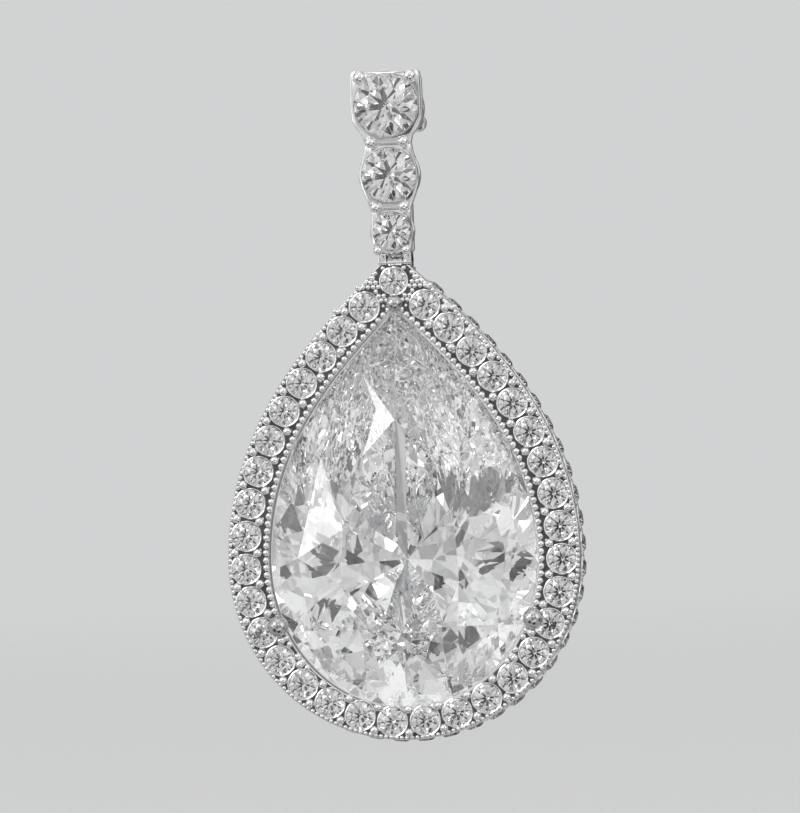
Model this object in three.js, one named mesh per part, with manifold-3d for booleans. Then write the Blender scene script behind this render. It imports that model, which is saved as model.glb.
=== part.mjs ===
// A teardrop earring: three round stones of falling size in a claw-set stem, and a large pear-shaped stone
// that hangs below them in a halo of small round stones.
// Millimetres. +Z is up, the stones face -Y, and the origin is on the ear post's axis, at the flat back of
// the stem that rests on the ear lobe.
import * as THREE from "three";
import { ConvexGeometry } from "three/addons/geometries/ConvexGeometry.js";
import { mergeVertices } from "three/addons/utils/BufferGeometryUtils.js";
import Module from "manifold-3d";

const wasm = await Module();
wasm.setup();

// Pear-shaped main stone.
const PEAR_HALF_WIDTH = 6;
const PEAR_ROUND_HEIGHT = 6.6; // from the widest line down to the round end
const PEAR_POINT_HEIGHT = 11.2; // from the widest line up to the point
const PEAR_CROWN_HEIGHT = 1.85;
const PEAR_GIRDLE_THICKNESS = 0.3;
const PEAR_PAVILION_DEPTH = 4.9;

// Halo: one row of small round stones round the main stone.
const HALO_STONE_RADIUS = 0.63;
const HALO_STONE_GAP = 0.16; // least gap between neighbours
const HALO_START_GAP = 0.46; // extra room between the point's stone and the first stone on each side
const HALO_SIDE_REACH = 1.14; // from the main stone's edge to the middle of the row, at the sides
const HALO_END_REACH = 0.68; // the same at the round end
const HALO_POINT_REACH = 1.49; // the same at the point
const HALO_OUTER_RIM = 0.18; // metal outside the row
const HALO_STONE_SINK = 0.02; // a halo stone's edge behind the plate's face
const HALO_PLATE_THICKNESS = 0.95;
const HALO_WALL_DEPTH = 1.6; // of the side wall behind the plate
const HALO_WALL_THICKNESS = 0.75;
const POINT_STONE_RADIUS = 0.58;
const POINT_STONE_DROP = 0.18; // the point's stone sits this far inside the row's point
const BEAD_RADIUS = 0.23;
const BEAD_OFFSET = 0.5; // from the middle of the row to a bead's centre

// Band of stones round the halo's side.
const BAND_STONE_RADIUS = 0.5;
const BAND_STONE_GAP = 0.1;
const BAND_THICKNESS = 0.42;
const BAND_STONE_RISE = 0.12;
const BAND_SETBACK = 0.05; // from the plate's edge in to the band's face
const BAND_NECK_HALF_GAP = 1.25; // half of the stretch at the point that holds no side stones

// Basket behind the main stone.
const RAIL_HALF_WIDTH = 3.3;
const RAIL_ROUND_HEIGHT = 3.5;
const RAIL_POINT_HEIGHT = 6;
const RAIL_WIRE = 0.75;
const RAIL_BEHIND_CULET = 0.15;
const LEG_RADIUS = 0.36;
const END_LEG_SHARES = [0.02, 0.33, 0.97]; // how far down the outline the legs without a claw stand

// Round claws of the main stone.
const CLAW_RADIUS = 0.31;
const CLAW_OFFSET = 0.3; // from the main stone's edge out to a claw's axis
const CLAW_TIP_RADIUS = 0.46;
const POINT_TIP_RADIUS = 0.34;
const CLAW_TIP_RISE = 0.5; // centre of a claw's tip in front of the main stone's edge
const CLAW_SHARE = 0.69; // how far down the main stone's edge the two lower claws stand

// Stem: its three round stones, from the top down.
const STEM_STONES = [
  { name: "stem_stone_top", radius: 1.45, drop: 0, height: 3.1 },
  { name: "stem_stone_middle", radius: 1.24, drop: 3.13, height: 2.8 },
  { name: "stem_stone_bottom", radius: 0.86, drop: 5.63, height: 2.45 },
];
const COLLET_WALL = 0.15;
const COLLET_TAPER = 0.76; // a collet's back radius as a share of its front radius
const STEM_RAIL_HALF_WIDTH = 0.78;
const STEM_RAIL_THICKNESS = 0.8;
const STEM_CLAW_RADIUS = 0.21;
const STEM_TIP_RADIUS = 0.25;
const TOP_TIP_RADIUS = 0.3;
const TOP_CLAW_REACH = 0.24; // from the top stone's edge out to its claws
const TOP_CLAW_ANGLE = 48; // degrees above the level
const LOBE_DISC_RADIUS = 1.45;

// Ear post.
const POST_RADIUS = 0.42;
const POST_LENGTH = 10.5; // behind the lobe face
const POST_SOCKET_DEPTH = 0.5;
const POST_GROOVE_DEPTH = 0.09;
const POST_GROOVE_WIDTH = 0.5;
const POST_GROOVE_FROM_END = 1.7;

// Hinge between the stem and the drop.
const HINGE_DROP = 7.02; // below the ear post
const HINGE_DEPTH = 1.02; // in front of the lobe face, so that the drop hangs straight
const PIN_RADIUS = 0.25;
const KNUCKLE_RADIUS = 0.52;
const KNUCKLE_HALF_WIDTH = 0.32;
const EAR_RADIUS = 0.54;
const HINGE_SIDE_CLEARANCE = 0.07;
const HINGE_PIN_CLEARANCE = 0.05;
const HINGE_SWING_CLEARANCE = 0.12;
const NECK_HALF_WIDTH = 0.74;

// The drop against the stem.
const DROP_BELOW_HINGE = 0.14; // from the hinge's axis down to the neck's flat top
const ROW_POINT_BELOW_NECK = 0.54; // from the neck's top down to the point of the halo's row
const HALO_FACE_HEIGHT = 2.3; // the halo plate's face in front of the lobe face
const PEAR_EDGE_BEHIND_FACE = 0.3; // the main stone's edge behind the halo plate's face
const PEAR_SIDE_GAP = 0.1; // between the main stone's edge and the halo plate

const LIGHT_HOLE_SHARE = 0.5; // of a stem stone's radius, for the hole behind the two lower ones

const STONE_CLEARANCE = 0.03; // between a stone and the metal that holds it
const FIT_GAP = 0.03; // between two pieces of metal that fit together

// Proportions of a round cut, as shares of its radius.
const ROUND_TABLE = 0.58;
const ROUND_CROWN = 0.32;
const ROUND_GIRDLE = 0.07;
const ROUND_PAVILION = 0.84;

// Shape of a pear outline: where the curve of its flank pulls, as shares of its width and point height.
const FLANK_PULL_WIDTH = 0.51;
const FLANK_PULL_POINT = 0.735;
const FLANK_PULL_WIDEST = 0.441;
const POINT_GROWTH = Math.SQRT2; // how far the 45 degree point moves when the outline grows by 1

// How many sides round things have.
const WIRE_SIDES = 8;
const PIN_SIDES = 12;
const SEAT_SIDES = 12;
const STONE_SIDES = 16;
const CUP_SIDES = 20;
const SMALL_BALL = { sides: 6, rings: 4 };
const CLAW_BALL = { sides: 8, rings: 6 };
const LARGE_BALL = { sides: 10, rings: 8 };
const OUTLINE_STEPS = { flank: 11, round: 9 };
const RAIL_STEPS = { flank: 7, round: 6 };

const WELD_DISTANCE = 1e-5; // corners closer than this are one corner

const metal = new THREE.MeshStandardMaterial({ color: 0xd8dadd, roughness: 0.14, metalness: 1 });
const stone = new THREE.MeshStandardMaterial({ color: 0xf2f4f6, roughness: 0.02, metalness: 0.1 });
const pave = new THREE.MeshStandardMaterial({ color: 0xe6e8eb, roughness: 0.08, metalness: 0.5 });

// Solids and geometries

function solidOf(geometry) {
  const bare = geometry.clone();
  bare.deleteAttribute("normal");
  bare.deleteAttribute("uv");
  const merged = mergeVertices(bare, WELD_DISTANCE);
  return new wasm.Manifold(
    new wasm.Mesh({
      numProp: 3,
      vertProperties: new Float32Array(merged.attributes.position.array),
      triVerts: new Uint32Array(merged.index.array),
    }),
  );
}

function geometryOf(solid) {
  const mesh = solid.getMesh();
  const geometry = new THREE.BufferGeometry();
  geometry.setAttribute("position", new THREE.BufferAttribute(mesh.vertProperties, 3));
  geometry.setIndex(new THREE.BufferAttribute(mesh.triVerts, 1));
  return geometry.toNonIndexed();
}

function joined(solids) {
  return wasm.Manifold.union(solids);
}

function box(low, high) {
  const size = high.clone().sub(low);
  const centre = low.clone().add(high).multiplyScalar(0.5);
  return solidOf(new THREE.BoxGeometry(size.x, size.y, size.z).translate(centre.x, centre.y, centre.z));
}

// A round bar from one point to another, with its own radius at each end.
function bar(from, to, fromRadius, toRadius, sides = WIRE_SIDES) {
  const run = to.clone().sub(from);
  const geometry = new THREE.CylinderGeometry(toRadius, fromRadius, run.length(), sides);
  const upright = new THREE.Vector3(0, 1, 0);
  geometry.applyQuaternion(new THREE.Quaternion().setFromUnitVectors(upright, run.normalize()));
  const centre = from.clone().add(to).multiplyScalar(0.5);
  return solidOf(geometry.translate(centre.x, centre.y, centre.z));
}

function ball(centre, radius, { sides, rings }) {
  return solidOf(new THREE.SphereGeometry(radius, sides, rings).translate(centre.x, centre.y, centre.z));
}

// A solid of revolution about the Y axis through a point. Its radius and Y pairs start and end on the axis.
function turned(profile, centre, sides) {
  const points = profile.map(([radius, y]) => new THREE.Vector2(radius, y));
  return solidOf(new THREE.LatheGeometry(points, sides).translate(centre.x, centre.y, centre.z));
}

// Pear outlines, in the plane of X and Z, with their widest line at z = 0

function pear(halfWidth, roundHeight, pointHeight) {
  return { halfWidth, roundHeight, pointHeight };
}

function grown(outline, by) {
  return pear(outline.halfWidth + by, outline.roundHeight + by, outline.pointHeight + by * POINT_GROWTH);
}

// The right half of an outline, from its point down to the middle of its round end.
function rightHalf({ halfWidth, roundHeight, pointHeight }) {
  const half = new THREE.CurvePath();
  half.add(
    new THREE.CubicBezierCurve(
      new THREE.Vector2(0, pointHeight),
      new THREE.Vector2(halfWidth * FLANK_PULL_WIDTH, pointHeight * FLANK_PULL_POINT),
      new THREE.Vector2(halfWidth, pointHeight * FLANK_PULL_WIDEST),
      new THREE.Vector2(halfWidth, 0),
    ),
  );
  half.add(new THREE.EllipseCurve(0, 0, halfWidth, roundHeight, 0, -Math.PI / 2, true));
  return half;
}

// Points all round an outline, anticlockwise seen with X to the right and Z up.
function around(outline, steps) {
  const [flank, round] = rightHalf(outline).curves;
  const right = [...flank.getPoints(steps.flank), ...round.getPoints(steps.round).slice(1)];
  const left = right.slice(1, -1).map((p) => new THREE.Vector2(-p.x, p.y));
  return [...left, ...right.reverse()];
}

// A ring or plate between an outer and an inner outline, from a front Y to a back Y.
function pearRing(outer, inner, front, back, steps = OUTLINE_STEPS) {
  const shape = new THREE.Shape(around(outer, steps));
  shape.holes.push(new THREE.Path(around(inner, steps)));
  const geometry = new THREE.ExtrudeGeometry(shape, { depth: back - front, bevelEnabled: false });
  geometry.rotateX(Math.PI / 2); // the shape's own up becomes +Z, and its depth runs towards -Y
  return solidOf(geometry.translate(0, back, WIDEST_Z));
}

// Cut stones, as the convex hulls of their facet corners. A stone's edge is at y = 0 and its table faces -Y.

function roundCut(radius) {
  const corners = [];
  const ring = (count, share, y, turn) => {
    const wide = radius * share;
    for (let i = 0; i < count; i++) {
      const angle = ((i + turn) / count) * 2 * Math.PI;
      corners.push(new THREE.Vector3(Math.cos(angle) * wide, y * radius, Math.sin(angle) * wide));
    }
  };
  ring(STONE_SIDES / 2, ROUND_TABLE, -ROUND_CROWN, 0.5);
  ring(STONE_SIDES, 1, 0, 0);
  ring(STONE_SIDES, 1, ROUND_GIRDLE, 0);
  corners.push(new THREE.Vector3(0, (ROUND_GIRDLE + ROUND_PAVILION) * radius, 0));
  return solidOf(new ConvexGeometry(corners));
}

// The table's corners on the right, as shares of the main stone's half width and its point or round height.
const TABLE_CORNERS = [
  { across: 0.29, up: 0.5 },
  { across: 0.64, up: 0.08 },
  { across: 0.55, up: -0.4 },
  { across: 0.22, up: -0.66 },
];
// The same for the corners of the crown's middle ring, with how much of the crown's height they have.
const CROWN_CORNERS = [
  { across: 0, up: 0.72, rise: 0.6 },
  { across: 0.68, up: 0.34, rise: 0.62 },
  { across: 0.81, up: -0.17, rise: 0.58 },
  { across: 0.52, up: -0.7, rise: 0.56 },
  { across: 0, up: -0.83, rise: 0.55 },
];
// Rings of corners down the pavilion: shares of the outline and of the depth.
const PAVILION_RINGS = [
  { size: 0.8, depth: 0.3, turn: 0.5 },
  { size: 0.56, depth: 0.58, turn: 0 },
  { size: 0.3, depth: 0.82, turn: 0.5 },
];
const EDGE_CORNERS = 32;
const RING_CORNERS = 16;

// The main stone, grown by a clearance on every side where it is used to cut its own seat.
function pearCut(clearance) {
  const edge = grown(PEAR_EDGE, clearance);
  const crown = PEAR_CROWN_HEIGHT + clearance;
  const pavilion = PEAR_PAVILION_DEPTH + clearance;
  const corners = [];
  const place = ({ across, up }, y) => {
    const z = up * (up > 0 ? edge.pointHeight : edge.roundHeight);
    corners.push(new THREE.Vector3(across * edge.halfWidth, y, z));
    if (across > 0) corners.push(new THREE.Vector3(-across * edge.halfWidth, y, z));
  };
  const ring = (count, size, y, turn) => {
    const half = rightHalf(edge);
    for (let i = 0; i < count; i++) {
      const share = ((i + turn) / count) * 2;
      const p = half.getPointAt(share <= 1 ? share : 2 - share);
      corners.push(new THREE.Vector3((share <= 1 ? p.x : -p.x) * size, y, p.y * size));
    }
  };
  TABLE_CORNERS.forEach((c) => place(c, -crown));
  CROWN_CORNERS.forEach((c) => place(c, -crown * c.rise));
  ring(EDGE_CORNERS, 1, -clearance, 0);
  ring(EDGE_CORNERS, 1, PEAR_GIRDLE_THICKNESS + clearance, 0);
  PAVILION_RINGS.forEach(({ size, depth, turn }) => {
    ring(RING_CORNERS, size, PEAR_GIRDLE_THICKNESS + pavilion * depth, turn);
  });
  corners.push(new THREE.Vector3(0, PEAR_GIRDLE_THICKNESS + pavilion, 0));
  return solidOf(new ConvexGeometry(corners));
}

// Where things are

const NECK_TOP_Z = -HINGE_DROP - DROP_BELOW_HINGE;
const HALO_FACE_Y = -HALO_FACE_HEIGHT;
const PLATE_BACK_Y = HALO_FACE_Y + HALO_PLATE_THICKNESS;
const WALL_BACK_Y = PLATE_BACK_Y + HALO_WALL_DEPTH;
const PEAR_EDGE_Y = HALO_FACE_Y + PEAR_EDGE_BEHIND_FACE;
const CULET_Y = PEAR_EDGE_Y + PEAR_GIRDLE_THICKNESS + PEAR_PAVILION_DEPTH;
const RAIL_BACK_Y = CULET_Y + RAIL_BEHIND_CULET;
const RAIL_FRONT_Y = RAIL_BACK_Y - RAIL_WIRE;

const PEAR_EDGE = pear(PEAR_HALF_WIDTH, PEAR_ROUND_HEIGHT, PEAR_POINT_HEIGHT);
const ROW = pear(
  PEAR_HALF_WIDTH + HALO_SIDE_REACH,
  PEAR_ROUND_HEIGHT + HALO_END_REACH,
  PEAR_POINT_HEIGHT + HALO_POINT_REACH,
);
const RAIL = pear(RAIL_HALF_WIDTH, RAIL_ROUND_HEIGHT, RAIL_POINT_HEIGHT);
const PLATE_EDGE = grown(ROW, HALO_STONE_RADIUS + HALO_OUTER_RIM);
const PLATE_INSIDE = grown(PEAR_EDGE, PEAR_SIDE_GAP);
const BAND_OUTER = grown(PLATE_EDGE, -BAND_SETBACK);
const BAND_INNER = grown(BAND_OUTER, -BAND_THICKNESS);
const WALL_EDGE = grown(BAND_INNER, -FIT_GAP);
const WALL_INSIDE = grown(WALL_EDGE, -HALO_WALL_THICKNESS);
const WIDEST_Z = NECK_TOP_Z - ROW_POINT_BELOW_NECK - ROW.pointHeight;
const HINGE = new THREE.Vector3(0, -HINGE_DEPTH, -HINGE_DROP);

// A point at a distance along the right half of an outline, with the outline's outward direction there.
function stationAt(outline, distance, side) {
  const half = rightHalf(outline);
  const share = distance / half.getLength();
  const p = half.getPointAt(share);
  const t = half.getTangentAt(share);
  return {
    centre: new THREE.Vector3(side * p.x, 0, WIDEST_Z + p.y),
    out: new THREE.Vector3(side * -t.y, 0, t.x),
  };
}

// Stations evenly along both sides of an outline, from a first distance to half a pitch before the bottom.
// With a shift of half a pitch they are the places between these, and the last of them is shared.
function stations(outline, first, leastPitch, shift = 0) {
  const run = rightHalf(outline).getLength() - first;
  const count = Math.floor(run / leastPitch + 0.5);
  const pitch = run / (count - 0.5);
  const distances = Array.from({ length: count }, (_, i) => first + (i + shift) * pitch);
  const right = distances.map((d) => stationAt(outline, d, 1));
  const left = distances.slice(0, shift > 0 ? -1 : count).map((d) => stationAt(outline, d, -1));
  return [...right, ...left];
}

const HALO_PITCH = 2 * HALO_STONE_RADIUS + HALO_STONE_GAP;
const HALO_FIRST = HALO_PITCH + HALO_START_GAP;
const HALO_STATIONS = stations(ROW, HALO_FIRST, HALO_PITCH);
const POINT_STONE = new THREE.Vector3(0, 0, WIDEST_Z + ROW.pointHeight - POINT_STONE_DROP);

// Metal of the drop

// The room for a round stone that is set in a face: its pavilion and girdle, grown by the clearance.
function roundSeat(radius, edge, sides) {
  const wide = radius + STONE_CLEARANCE;
  const top = -radius * ROUND_CROWN - STONE_CLEARANCE;
  const bottom = radius * (ROUND_GIRDLE + ROUND_PAVILION) + STONE_CLEARANCE;
  const profile = [
    [0, top],
    [radius * ROUND_TABLE + STONE_CLEARANCE, top],
    [wide, -STONE_CLEARANCE],
    [wide, radius * ROUND_GIRDLE],
    [0, bottom],
  ];
  return turned(profile, edge, sides);
}

const HALO_STONE_EDGE_Y = HALO_FACE_Y + HALO_STONE_SINK;

function haloSeats() {
  const seatAt = (centre, radius) => roundSeat(radius, centre.clone().setY(HALO_STONE_EDGE_Y), SEAT_SIDES);
  const seats = HALO_STATIONS.map(({ centre }) => seatAt(centre, HALO_STONE_RADIUS));
  return [...seats, seatAt(POINT_STONE, POINT_STONE_RADIUS)];
}

// Small beads on both edges of the row, one pair in each gap between two halo stones.
function haloBeads() {
  return stations(ROW, HALO_FIRST, HALO_PITCH, 0.5).flatMap(({ centre, out }) =>
    [BEAD_OFFSET, -BEAD_OFFSET].map((offset) => {
      const at = centre.clone().addScaledVector(out, offset).setY(HALO_FACE_Y);
      return ball(at, BEAD_RADIUS, SMALL_BALL);
    }),
  );
}

// A claw: a post beside the main stone that ends in a bead over its edge.
function claw({ centre, out }, tipRadius) {
  const foot = centre.clone().addScaledVector(out, CLAW_OFFSET).setY(WALL_BACK_Y);
  const tip = foot.clone().setY(PEAR_EDGE_Y - CLAW_TIP_RISE);
  return [bar(foot, tip, CLAW_RADIUS, CLAW_RADIUS), ball(tip, tipRadius, LARGE_BALL)];
}

// A leg from the halo's wall to the basket's rail, at a share of the way along the outlines.
function leg(share, side) {
  const wall = grown(WALL_EDGE, -HALO_WALL_THICKNESS / 2);
  const at = (outline) => stationAt(outline, share * rightHalf(outline).getLength(), side).centre;
  const from = at(wall).setY(WALL_BACK_Y - LEG_RADIUS);
  const to = at(RAIL).setY(RAIL_BACK_Y - RAIL_WIRE / 2);
  return bar(from, to, LEG_RADIUS, LEG_RADIUS);
}

function basket() {
  const half = RAIL_WIRE / 2;
  return [
    pearRing(grown(RAIL, half), grown(RAIL, -half), RAIL_FRONT_Y, RAIL_BACK_Y, RAIL_STEPS),
    ...[...END_LEG_SHARES, CLAW_SHARE].flatMap((share) => [leg(share, 1), leg(share, -1)]),
  ];
}

function mainClaws() {
  const clawAt = CLAW_SHARE * rightHalf(PEAR_EDGE).getLength();
  const point = new THREE.Vector3(0, 0, WIDEST_Z + PEAR_POINT_HEIGHT);
  return [
    ...claw({ centre: point, out: new THREE.Vector3(0, 0, 1) }, POINT_TIP_RADIUS),
    ...claw(stationAt(PEAR_EDGE, clawAt, 1), CLAW_TIP_RADIUS),
    ...claw(stationAt(PEAR_EDGE, clawAt, -1), CLAW_TIP_RADIUS),
  ];
}

// Room round the hinge, as wide as the stem's ears and their clearance at each side.
const SWING_ROOM = EAR_RADIUS + HINGE_SWING_CLEARANCE;

// A round bar along the hinge's axis, as far to both sides of its middle.
function hingeBar(halfLength, radius, sides) {
  return bar(HINGE.clone().setX(-halfLength), HINGE.clone().setX(halfLength), radius, radius, sides);
}

// The room also takes off what stands above the neck's flat top.
function hingeRoom() {
  const half = NECK_HALF_WIDTH + HINGE_SIDE_CLEARANCE;
  return [
    hingeBar(half, SWING_ROOM, CUP_SIDES),
    box(
      new THREE.Vector3(-PEAR_HALF_WIDTH, HALO_FACE_Y - HALO_PLATE_THICKNESS, NECK_TOP_Z),
      new THREE.Vector3(PEAR_HALF_WIDTH, RAIL_BACK_Y, 0),
    ),
  ];
}

function knuckle() {
  const low = HINGE.z - SWING_ROOM - POINT_STONE_RADIUS;
  return [
    hingeBar(KNUCKLE_HALF_WIDTH, KNUCKLE_RADIUS, STONE_SIDES),
    box(
      new THREE.Vector3(-KNUCKLE_HALF_WIDTH, HINGE.y - KNUCKLE_RADIUS, low),
      new THREE.Vector3(KNUCKLE_HALF_WIDTH, HINGE.y + KNUCKLE_RADIUS, HINGE.z),
    ),
  ];
}

function dropSetting() {
  const neck = box(
    new THREE.Vector3(-NECK_HALF_WIDTH, HALO_FACE_Y, POINT_STONE.z - POINT_STONE_RADIUS),
    new THREE.Vector3(NECK_HALF_WIDTH, WALL_BACK_Y, NECK_TOP_Z),
  );
  const body = joined([
    pearRing(PLATE_EDGE, PLATE_INSIDE, HALO_FACE_Y, PLATE_BACK_Y),
    pearRing(WALL_EDGE, WALL_INSIDE, PLATE_BACK_Y, WALL_BACK_Y),
    neck,
    ...haloBeads(),
    ...basket(),
    ...mainClaws(),
  ]);
  const pearSeat = pearCut(STONE_CLEARANCE).translate(0, PEAR_EDGE_Y, WIDEST_Z);
  const bore = hingeBar(NECK_HALF_WIDTH, PIN_RADIUS + HINGE_PIN_CLEARANCE, PIN_SIDES);
  const metalOfDrop = joined([body.subtract(joined(hingeRoom())), ...knuckle()]);
  return metalOfDrop.subtract(joined([...haloSeats(), pearSeat, bore]));
}

// The side band: a wall behind the plate's edge, with its stones set in it side by side.
function sideBand() {
  const front = PLATE_BACK_Y + FIT_GAP;
  const middle = (front + WALL_BACK_Y) / 2;
  const pitch = 2 * BAND_STONE_RADIUS + BAND_STONE_GAP;
  const stones = stations(BAND_OUTER, BAND_NECK_HALF_GAP + pitch, pitch).map(({ centre, out }) => {
    const inner = centre.clone().addScaledVector(out, -BAND_STONE_RISE).setY(middle);
    const outer = centre.clone().addScaledVector(out, BAND_STONE_RISE).setY(middle);
    return bar(inner, outer, BAND_STONE_RADIUS + BAND_STONE_RISE, BAND_STONE_RADIUS * ROUND_TABLE);
  });
  const gap = box(
    new THREE.Vector3(-BAND_NECK_HALF_GAP, HALO_FACE_Y, WIDEST_Z + PEAR_POINT_HEIGHT),
    new THREE.Vector3(BAND_NECK_HALF_GAP, RAIL_BACK_Y, 0),
  );
  return joined([pearRing(BAND_OUTER, BAND_INNER, front, WALL_BACK_Y), ...stones]).subtract(gap);
}

// Metal of the stem

// A tapered cup for a round stone, open at the front.
function collet({ radius, height, drop }) {
  const wide = radius + COLLET_WALL;
  const back = -STEM_RAIL_THICKNESS / 2;
  const profile = [
    [0, -height],
    [wide, -height],
    [wide * COLLET_TAPER, back],
    [0, back],
  ];
  return turned(profile, new THREE.Vector3(0, 0, -drop), CUP_SIDES);
}

function stemSeat({ radius, height, drop }) {
  return roundSeat(radius, new THREE.Vector3(0, -height, -drop), STONE_SIDES);
}

// Pairs of claws of the stem. Each claw stands on the rail and ends in a bead in front of a stone's edge.
const [TOP, MIDDLE, BOTTOM] = STEM_STONES;

function betweenStones(upper, lower) {
  return -(upper.drop + upper.radius + lower.drop - lower.radius) / 2;
}

function stemClawPairs() {
  const angle = THREE.MathUtils.degToRad(TOP_CLAW_ANGLE);
  const reach = TOP.radius + TOP_CLAW_REACH;
  const topZ = reach * Math.sin(angle);
  const upperZ = betweenStones(TOP, MIDDLE);
  const lowerZ = betweenStones(MIDDLE, BOTTOM);
  const endZ = -BOTTOM.drop - BOTTOM.radius;
  const narrow = NECK_HALF_WIDTH - STEM_CLAW_RADIUS / 2;
  const topX = reach * Math.cos(angle);
  return [
    { x: topX, z: topZ, footZ: topZ * COLLET_TAPER, height: TOP.height, tip: TOP_TIP_RADIUS },
    { x: NECK_HALF_WIDTH, z: upperZ, footZ: upperZ, height: TOP.height, tip: STEM_TIP_RADIUS },
    { x: narrow, z: lowerZ, footZ: lowerZ, height: MIDDLE.height, tip: STEM_TIP_RADIUS },
    { x: narrow, z: endZ, footZ: endZ, height: BOTTOM.height, tip: STEM_CLAW_RADIUS },
  ];
}

function stemClaws() {
  return stemClawPairs().flatMap(({ x, z, footZ, height, tip }) =>
    [1, -1].flatMap((side) => {
      const foot = new THREE.Vector3(side * x * COLLET_TAPER, -STEM_RAIL_THICKNESS / 2, footZ);
      const end = new THREE.Vector3(side * x, -height - STEM_CLAW_RADIUS / 2, z);
      return [bar(foot, end, STEM_CLAW_RADIUS, STEM_CLAW_RADIUS), ball(end, tip, CLAW_BALL)];
    }),
  );
}

// One ear of the hinge, on side 1 or -1: a round end on a bar that reaches up to the rail.
function ear(side) {
  const inner = side * (KNUCKLE_HALF_WIDTH + HINGE_SIDE_CLEARANCE);
  const outer = side * NECK_HALF_WIDTH;
  return [
    bar(HINGE.clone().setX(inner), HINGE.clone().setX(outer), EAR_RADIUS, EAR_RADIUS, STONE_SIDES),
    box(
      new THREE.Vector3(Math.min(inner, outer), HINGE.y - EAR_RADIUS, HINGE.z),
      new THREE.Vector3(Math.max(inner, outer), HINGE.y + EAR_RADIUS, -BOTTOM.drop),
    ),
  ];
}

// A round bar along Y at a height, from a front Y to a back Y.
function levelBar(z, front, back, radius, sides) {
  return bar(new THREE.Vector3(0, front, z), new THREE.Vector3(0, back, z), radius, radius, sides);
}

function stemSetting() {
  const rail = box(
    new THREE.Vector3(-STEM_RAIL_HALF_WIDTH, -STEM_RAIL_THICKNESS, HINGE.z + KNUCKLE_RADIUS),
    new THREE.Vector3(STEM_RAIL_HALF_WIDTH, 0, 0),
  );
  const lightHoles = [MIDDLE, BOTTOM].map(({ radius, height, drop }) =>
    levelBar(-drop, -height, height, radius * LIGHT_HOLE_SHARE, PIN_SIDES),
  );
  const metalOfStem = joined([
    levelBar(0, -STEM_RAIL_THICKNESS, 0, LOBE_DISC_RADIUS, CUP_SIDES),
    rail,
    ...STEM_STONES.map(collet),
    ...stemClaws(),
    ...ear(1),
    ...ear(-1),
  ]);
  const cuts = joined([
    ...STEM_STONES.map(stemSeat),
    ...lightHoles,
    levelBar(0, -POST_SOCKET_DEPTH, POST_LENGTH, POST_RADIUS + FIT_GAP, STONE_SIDES),
    hingeBar(NECK_HALF_WIDTH + EAR_RADIUS, PIN_RADIUS + FIT_GAP, PIN_SIDES),
    hingeBar(KNUCKLE_HALF_WIDTH + HINGE_SIDE_CLEARANCE, KNUCKLE_RADIUS + HINGE_SWING_CLEARANCE, CUP_SIDES),
  ]);
  return metalOfStem.subtract(cuts);
}

function earPost() {
  const end = POST_LENGTH;
  const groove = end - POST_GROOVE_FROM_END;
  const thin = POST_RADIUS - POST_GROOVE_DEPTH;
  const profile = [
    [0, -POST_SOCKET_DEPTH + FIT_GAP],
    [POST_RADIUS, -POST_SOCKET_DEPTH + FIT_GAP],
    [POST_RADIUS, groove - POST_GROOVE_WIDTH / 2],
    [thin, groove - POST_GROOVE_WIDTH / 4],
    [thin, groove + POST_GROOVE_WIDTH / 4],
    [POST_RADIUS, groove + POST_GROOVE_WIDTH / 2],
    [POST_RADIUS, end - POST_RADIUS],
    [POST_RADIUS * Math.SQRT1_2, end - POST_RADIUS * (1 - Math.SQRT1_2)],
    [0, end],
  ];
  return turned(profile, new THREE.Vector3(0, 0, 0), STONE_SIDES);
}

// The assembly

function piece(name, solid, material) {
  const mesh = new THREE.Mesh(geometryOf(solid), material);
  mesh.geometry.computeVertexNormals();
  mesh.name = name;
  return mesh;
}

const stem = new THREE.Group();
stem.add(piece("ear_post", earPost(), metal));
stem.add(piece("stem_setting", stemSetting(), metal));
stem.add(piece("hinge_pin", hingeBar(NECK_HALF_WIDTH, PIN_RADIUS, PIN_SIDES), metal));
for (const { name, radius, height, drop } of STEM_STONES) {
  const mesh = piece(name, roundCut(radius), stone);
  mesh.position.set(0, -height, -drop);
  stem.add(mesh);
}

const drop = new THREE.Group();
drop.add(piece("drop_setting", dropSetting(), metal));
drop.add(piece("side_band", sideBand(), pave));
const pearStone = piece("pear_stone", pearCut(0), stone);
pearStone.position.set(0, PEAR_EDGE_Y, WIDEST_Z);
drop.add(pearStone);
const pointStone = piece("point_stone", roundCut(POINT_STONE_RADIUS), stone);
pointStone.position.set(0, HALO_STONE_EDGE_Y, POINT_STONE.z);
drop.add(pointStone);
HALO_STATIONS.forEach(({ centre }, i) => {
  const name = "halo_stone_" + String(i + 1).padStart(2, "0");
  const mesh = piece(name, roundCut(HALO_STONE_RADIUS), stone);
  mesh.position.set(centre.x, HALO_STONE_EDGE_Y, centre.z);
  drop.add(mesh);
});

const earring = new THREE.Group();
earring.add(stem, drop);
export default earring;
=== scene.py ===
import math
import random

import bmesh
import bpy
from mathutils import Matrix, Quaternion, Vector
from mathutils.geometry import interpolate_bezier

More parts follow.
